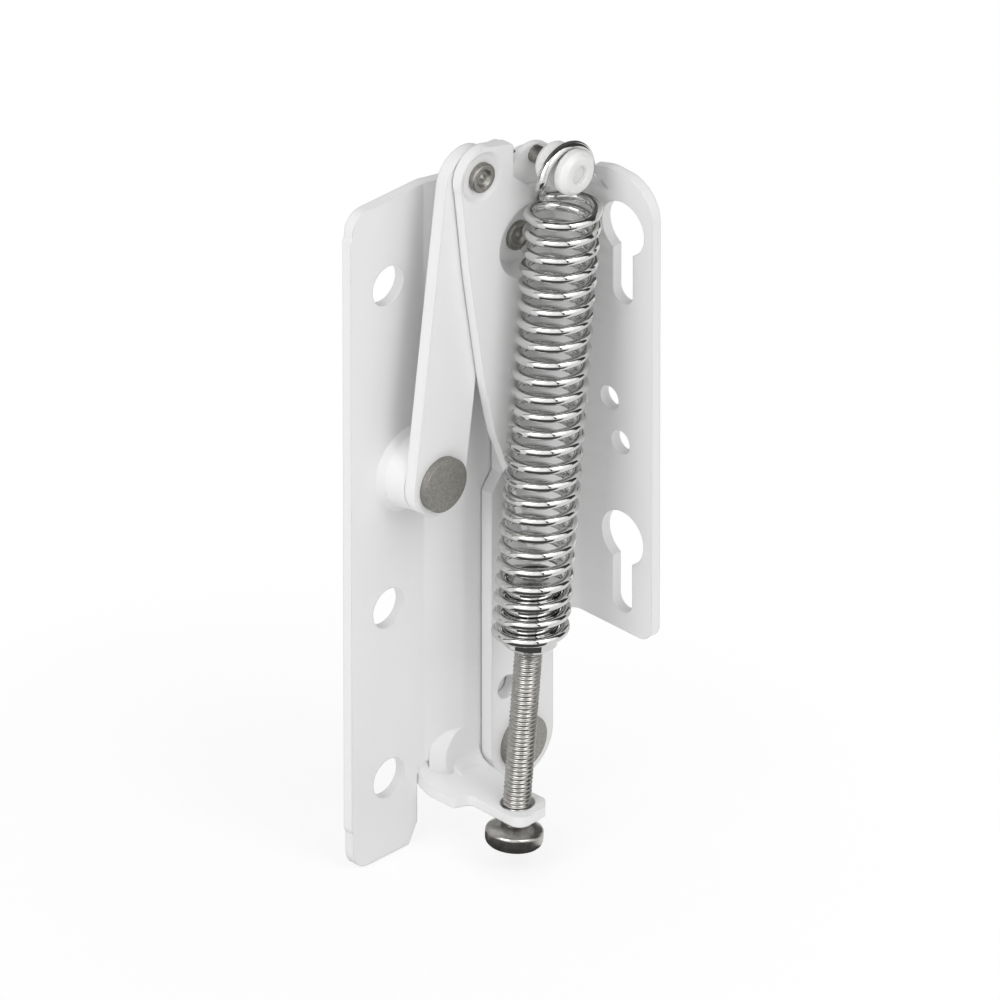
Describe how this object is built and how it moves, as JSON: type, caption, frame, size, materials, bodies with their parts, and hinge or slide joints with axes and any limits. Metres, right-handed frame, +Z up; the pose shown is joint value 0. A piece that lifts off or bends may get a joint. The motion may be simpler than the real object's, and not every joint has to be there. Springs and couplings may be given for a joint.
{
  "type": "lid stay",
  "caption": "Spring-loaded lid stay: side-panel bracket, crossed arms, lid bracket with keyholes, and a tension spring with an adjusting screw.",
  "frame": {"origin": "front lower corner of the base bracket's mounting face, on the side panel", "axes": "+X away from the side panel, +Y to the back, where the open lid stands, +Z up"},
  "size_m": [0.0312, 0.046, 0.139],
  "materials": {
    "powder_coat": "white semi-gloss powder coat",
    "rivet_steel": "matte grey with fine grain",
    "bright_wire": "bright nickel",
    "zinc_steel": "zinc plated",
    "white_nylon": "translucent white nylon"
  },
  "bodies": {
    "base": {"base_bracket": "powder_coat", "long_arm_lower_rivet": "rivet_steel", "short_arm_lower_rivet_tail": "rivet_steel"},
    "long_arm": {"long_arm": "powder_coat", "stop_pin": "rivet_steel"},
    "lid": {"lid_bracket": "powder_coat", "short_arm_upper_rivet": "rivet_steel", "long_arm_upper_rivet": "rivet_steel", "spool_stud": "rivet_steel"},
    "short_arm": {"short_arm": "powder_coat", "short_arm_lower_rivet_head": "rivet_steel"},
    "spool": {"spring_spool": "white_nylon"},
    "spring": {"tension_spring": "bright_wire"},
    "screw": {"adjusting_screw": "zinc_steel"},
    "plug": {"spring_plug": "bright_wire"}
  },
  "joints": [
    {"name": "lid_pivot", "type": "hinge", "parent": "long_arm", "child": "lid", "pos_m": [0.009, 0.033, 0.1167], "axis": [1, 0, 0], "range_deg": [0, 121.26]},
    {"name": "long_arm_pivot", "type": "hinge", "parent": "base", "child": "long_arm", "pos_m": [0.006, 0.0362, 0.0138], "axis": [1, 0, 0], "range_deg": [-31.86, 0.6]},
    {"name": "short_arm_pivot", "type": "hinge", "parent": "lid", "child": "short_arm", "pos_m": [0.0085, 0.0218, 0.1335], "axis": [1, 0, 0], "range_deg": [-156.18, 0.6]},
    {"name": "spool_turn", "type": "hinge", "parent": "lid", "child": "spool", "pos_m": [0.0189, 0.0354, 0.1326], "axis": [1, 0, 0], "range_deg": [-111.57, 0.6]},
    {"name": "spring_swing", "type": "hinge", "parent": "base", "child": "spring", "pos_m": [0.0194, 0.0228, 0.0108], "axis": [1, 0, 0], "range_deg": [-21.58, 0.6]},
    {"name": "screw_turn", "type": "hinge", "parent": "spring", "child": "screw", "pos_m": [0.0194, 0.0228, 0.0108], "axis": [-0.0041, 0.1029, 0.9947], "range_deg": [-1081, 1081]},
    {"name": "plug_travel", "type": "slide", "parent": "spring", "child": "plug", "axis": [-0.0041, 0.1029, 0.9947], "range_m": [-0.0024, 0.0024], "deforming": ["tension_spring"]}
  ],
  "couplings": [
    {"joint": "long_arm_pivot", "follows": "lid_pivot", "ratio": -0.25783},
    {"joint": "short_arm_pivot", "follows": "lid_pivot", "ratio": -1.2831},
    {"joint": "spool_turn", "follows": "lid_pivot", "ratio": -0.91515},
    {"joint": "spring_swing", "follows": "lid_pivot", "ratio": -0.17298},
    {"joint": "screw_turn", "follows": "plug_travel", "rad_per_m": 7854}
  ]
}
